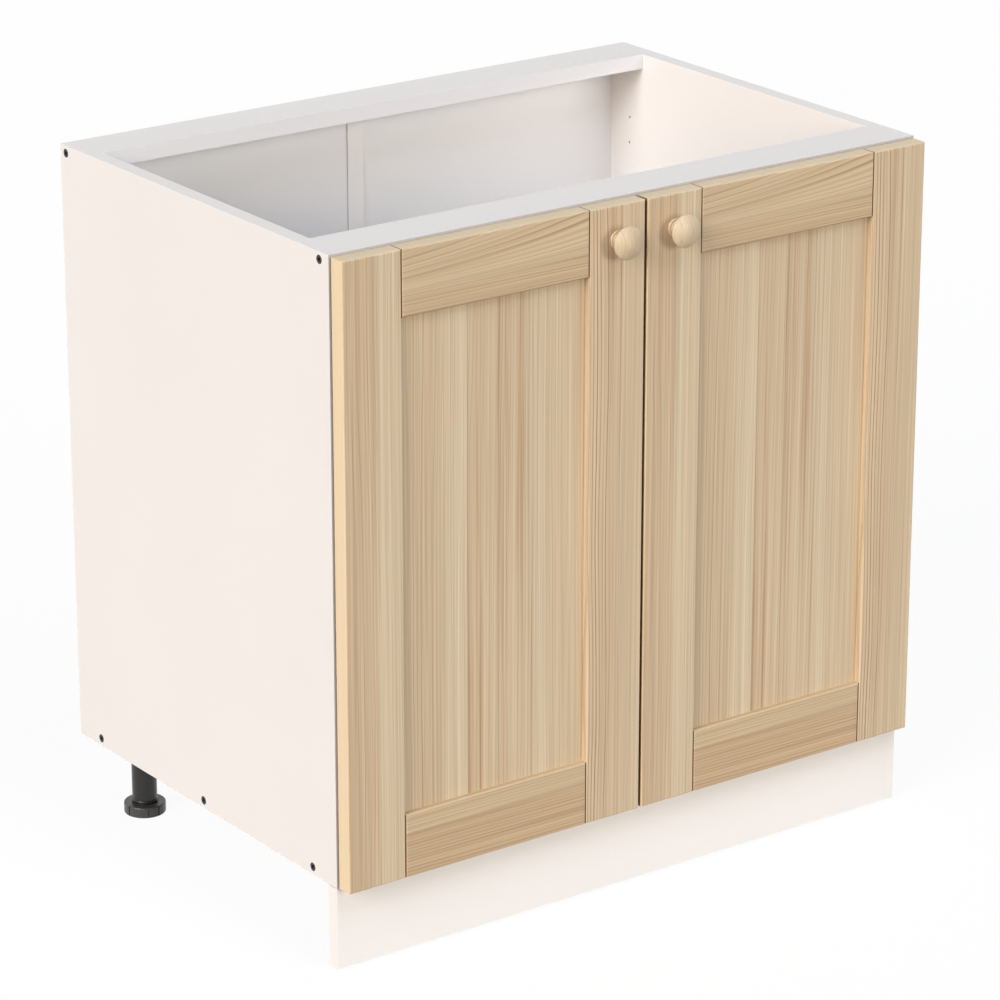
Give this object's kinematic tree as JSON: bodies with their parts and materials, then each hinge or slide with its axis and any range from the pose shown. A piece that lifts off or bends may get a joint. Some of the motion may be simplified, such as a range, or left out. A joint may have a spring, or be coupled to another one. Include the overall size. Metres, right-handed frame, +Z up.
{
  "type": "kitchen base cabinet",
  "caption": "White kitchen base cabinet on adjustable legs, with pine frame-and-panel doors on concealed hinges, round wooden knobs, open top and clip-on plinth.",
  "frame": {"origin": "on the floor, under the middle of the cabinet's box", "axes": "+Z up, the doors face -Y, +X to the right seen from the front"},
  "size_m": [0.8, 0.5936, 0.82],
  "materials": {
    "white_board": "white melamine-faced board, satin",
    "back_board": "white lacquered hardboard",
    "strip_plastic": "white plastic",
    "pine": "clear-lacquered pine, satin",
    "knob_wood": "turned pale wood, satin lacquer",
    "dowel_wood": "plain beech",
    "leg_plastic": "black moulded plastic",
    "plated_steel": "nickel-plated steel",
    "pad_rubber": "soft clear pads"
  },
  "bodies": {
    "carcass": {"back_joint_strip": "strip_plastic", "back_nails": "plated_steel", "back_panel_left": "back_board", "back_panel_right": "back_board", "bottom_panel": "white_board", "carcass_screws": "plated_steel", "front_top_rail": "white_board", "left_hinge_arm_pins": "plated_steel", "left_hinge_arms": "plated_steel", "left_hinge_plate_screws": "plated_steel", "left_hinge_plates": "plated_steel", "leg_socket_screws": "plated_steel", "leg_sockets": "leg_plastic", "leg_tube_front_left": "leg_plastic", "leg_tube_front_right": "leg_plastic", "leg_tube_rear_left": "leg_plastic", "leg_tube_rear_right": "leg_plastic", "rail_dowels": "dowel_wood", "rear_top_rail": "white_board", "right_hinge_arm_pins": "plated_steel", "right_hinge_arms": "plated_steel", "right_hinge_plate_screws": "plated_steel", "right_hinge_plates": "plated_steel", "shelf_pins": "plated_steel", "side_panel_left": "white_board", "side_panel_right": "white_board"},
    "shelf": {"shelf": "white_board"},
    "plinth": {"plinth_board": "white_board", "plinth_clip_left": "leg_plastic", "plinth_clip_right": "leg_plastic", "plinth_clip_screws": "plated_steel"},
    "foot_front_left": {"foot_front_left": "leg_plastic"},
    "foot_front_right": {"foot_front_right": "leg_plastic"},
    "foot_rear_left": {"foot_rear_left": "leg_plastic"},
    "foot_rear_right": {"foot_rear_right": "leg_plastic"},
    "left_links": {"left_hinge_links": "plated_steel"},
    "left_door": {"left_hinge_stile": "pine", "left_knob_stile": "pine", "left_top_door_rail": "pine", "left_bottom_door_rail": "pine", "left_door_panel": "pine", "left_knob": "knob_wood", "left_knob_screw": "plated_steel", "left_bump_pads": "pad_rubber", "left_hinge_cups": "plated_steel", "left_hinge_cup_pins": "plated_steel", "left_hinge_cup_screws": "plated_steel"},
    "right_links": {"right_hinge_links": "plated_steel"},
    "right_door": {"right_hinge_stile": "pine", "right_knob_stile": "pine", "right_top_door_rail": "pine", "right_bottom_door_rail": "pine", "right_door_panel": "pine", "right_knob": "knob_wood", "right_knob_screw": "plated_steel", "right_bump_pads": "pad_rubber", "right_hinge_cups": "plated_steel", "right_hinge_cup_pins": "plated_steel", "right_hinge_cup_screws": "plated_steel"}
  },
  "joints": [
    {"name": "left_hinge_link", "type": "hinge", "parent": "carcass", "child": "left_links", "pos_m": [-0.368, -0.23975, 0.46], "axis": [0, 0, 1], "range_deg": [0, 47.5]},
    {"name": "left_door_swing", "type": "hinge", "parent": "left_links", "child": "left_door", "pos_m": [-0.388, -0.25275, 0.46], "axis": [0, 0, -1], "range_deg": [0, 142.5]},
    {"name": "right_hinge_link", "type": "hinge", "parent": "carcass", "child": "right_links", "pos_m": [0.368, -0.23975, 0.46], "axis": [0, 0, -1], "range_deg": [0, 47.5]},
    {"name": "right_door_swing", "type": "hinge", "parent": "right_links", "child": "right_door", "pos_m": [0.388, -0.25275, 0.46], "axis": [0, 0, 1], "range_deg": [0, 142.5]},
    {"name": "foot_screw_front_left", "type": "slide", "parent": "carcass", "child": "foot_front_left", "axis": [0, 0, -1], "range_m": [0, 0.02]},
    {"name": "foot_screw_front_right", "type": "slide", "parent": "carcass", "child": "foot_front_right", "axis": [0, 0, -1], "range_m": [0, 0.02]},
    {"name": "foot_screw_rear_left", "type": "slide", "parent": "carcass", "child": "foot_rear_left", "axis": [0, 0, -1], "range_m": [0, 0.02]},
    {"name": "foot_screw_rear_right", "type": "slide", "parent": "carcass", "child": "foot_rear_right", "axis": [0, 0, -1], "range_m": [0, 0.02]},
    {"name": "plinth_pull", "type": "slide", "parent": "carcass", "child": "plinth", "axis": [0, -1, 0], "range_m": [0, 0.1]},
    {"name": "shelf_lift", "type": "slide", "parent": "carcass", "child": "shelf", "axis": [0, 0, 1], "range_m": [0, 0.05]}
  ],
  "couplings": [
    {"joint": "left_hinge_link", "follows": "left_door_swing", "ratio": 0.33333},
    {"joint": "right_hinge_link", "follows": "right_door_swing", "ratio": 0.33333}
  ]
}
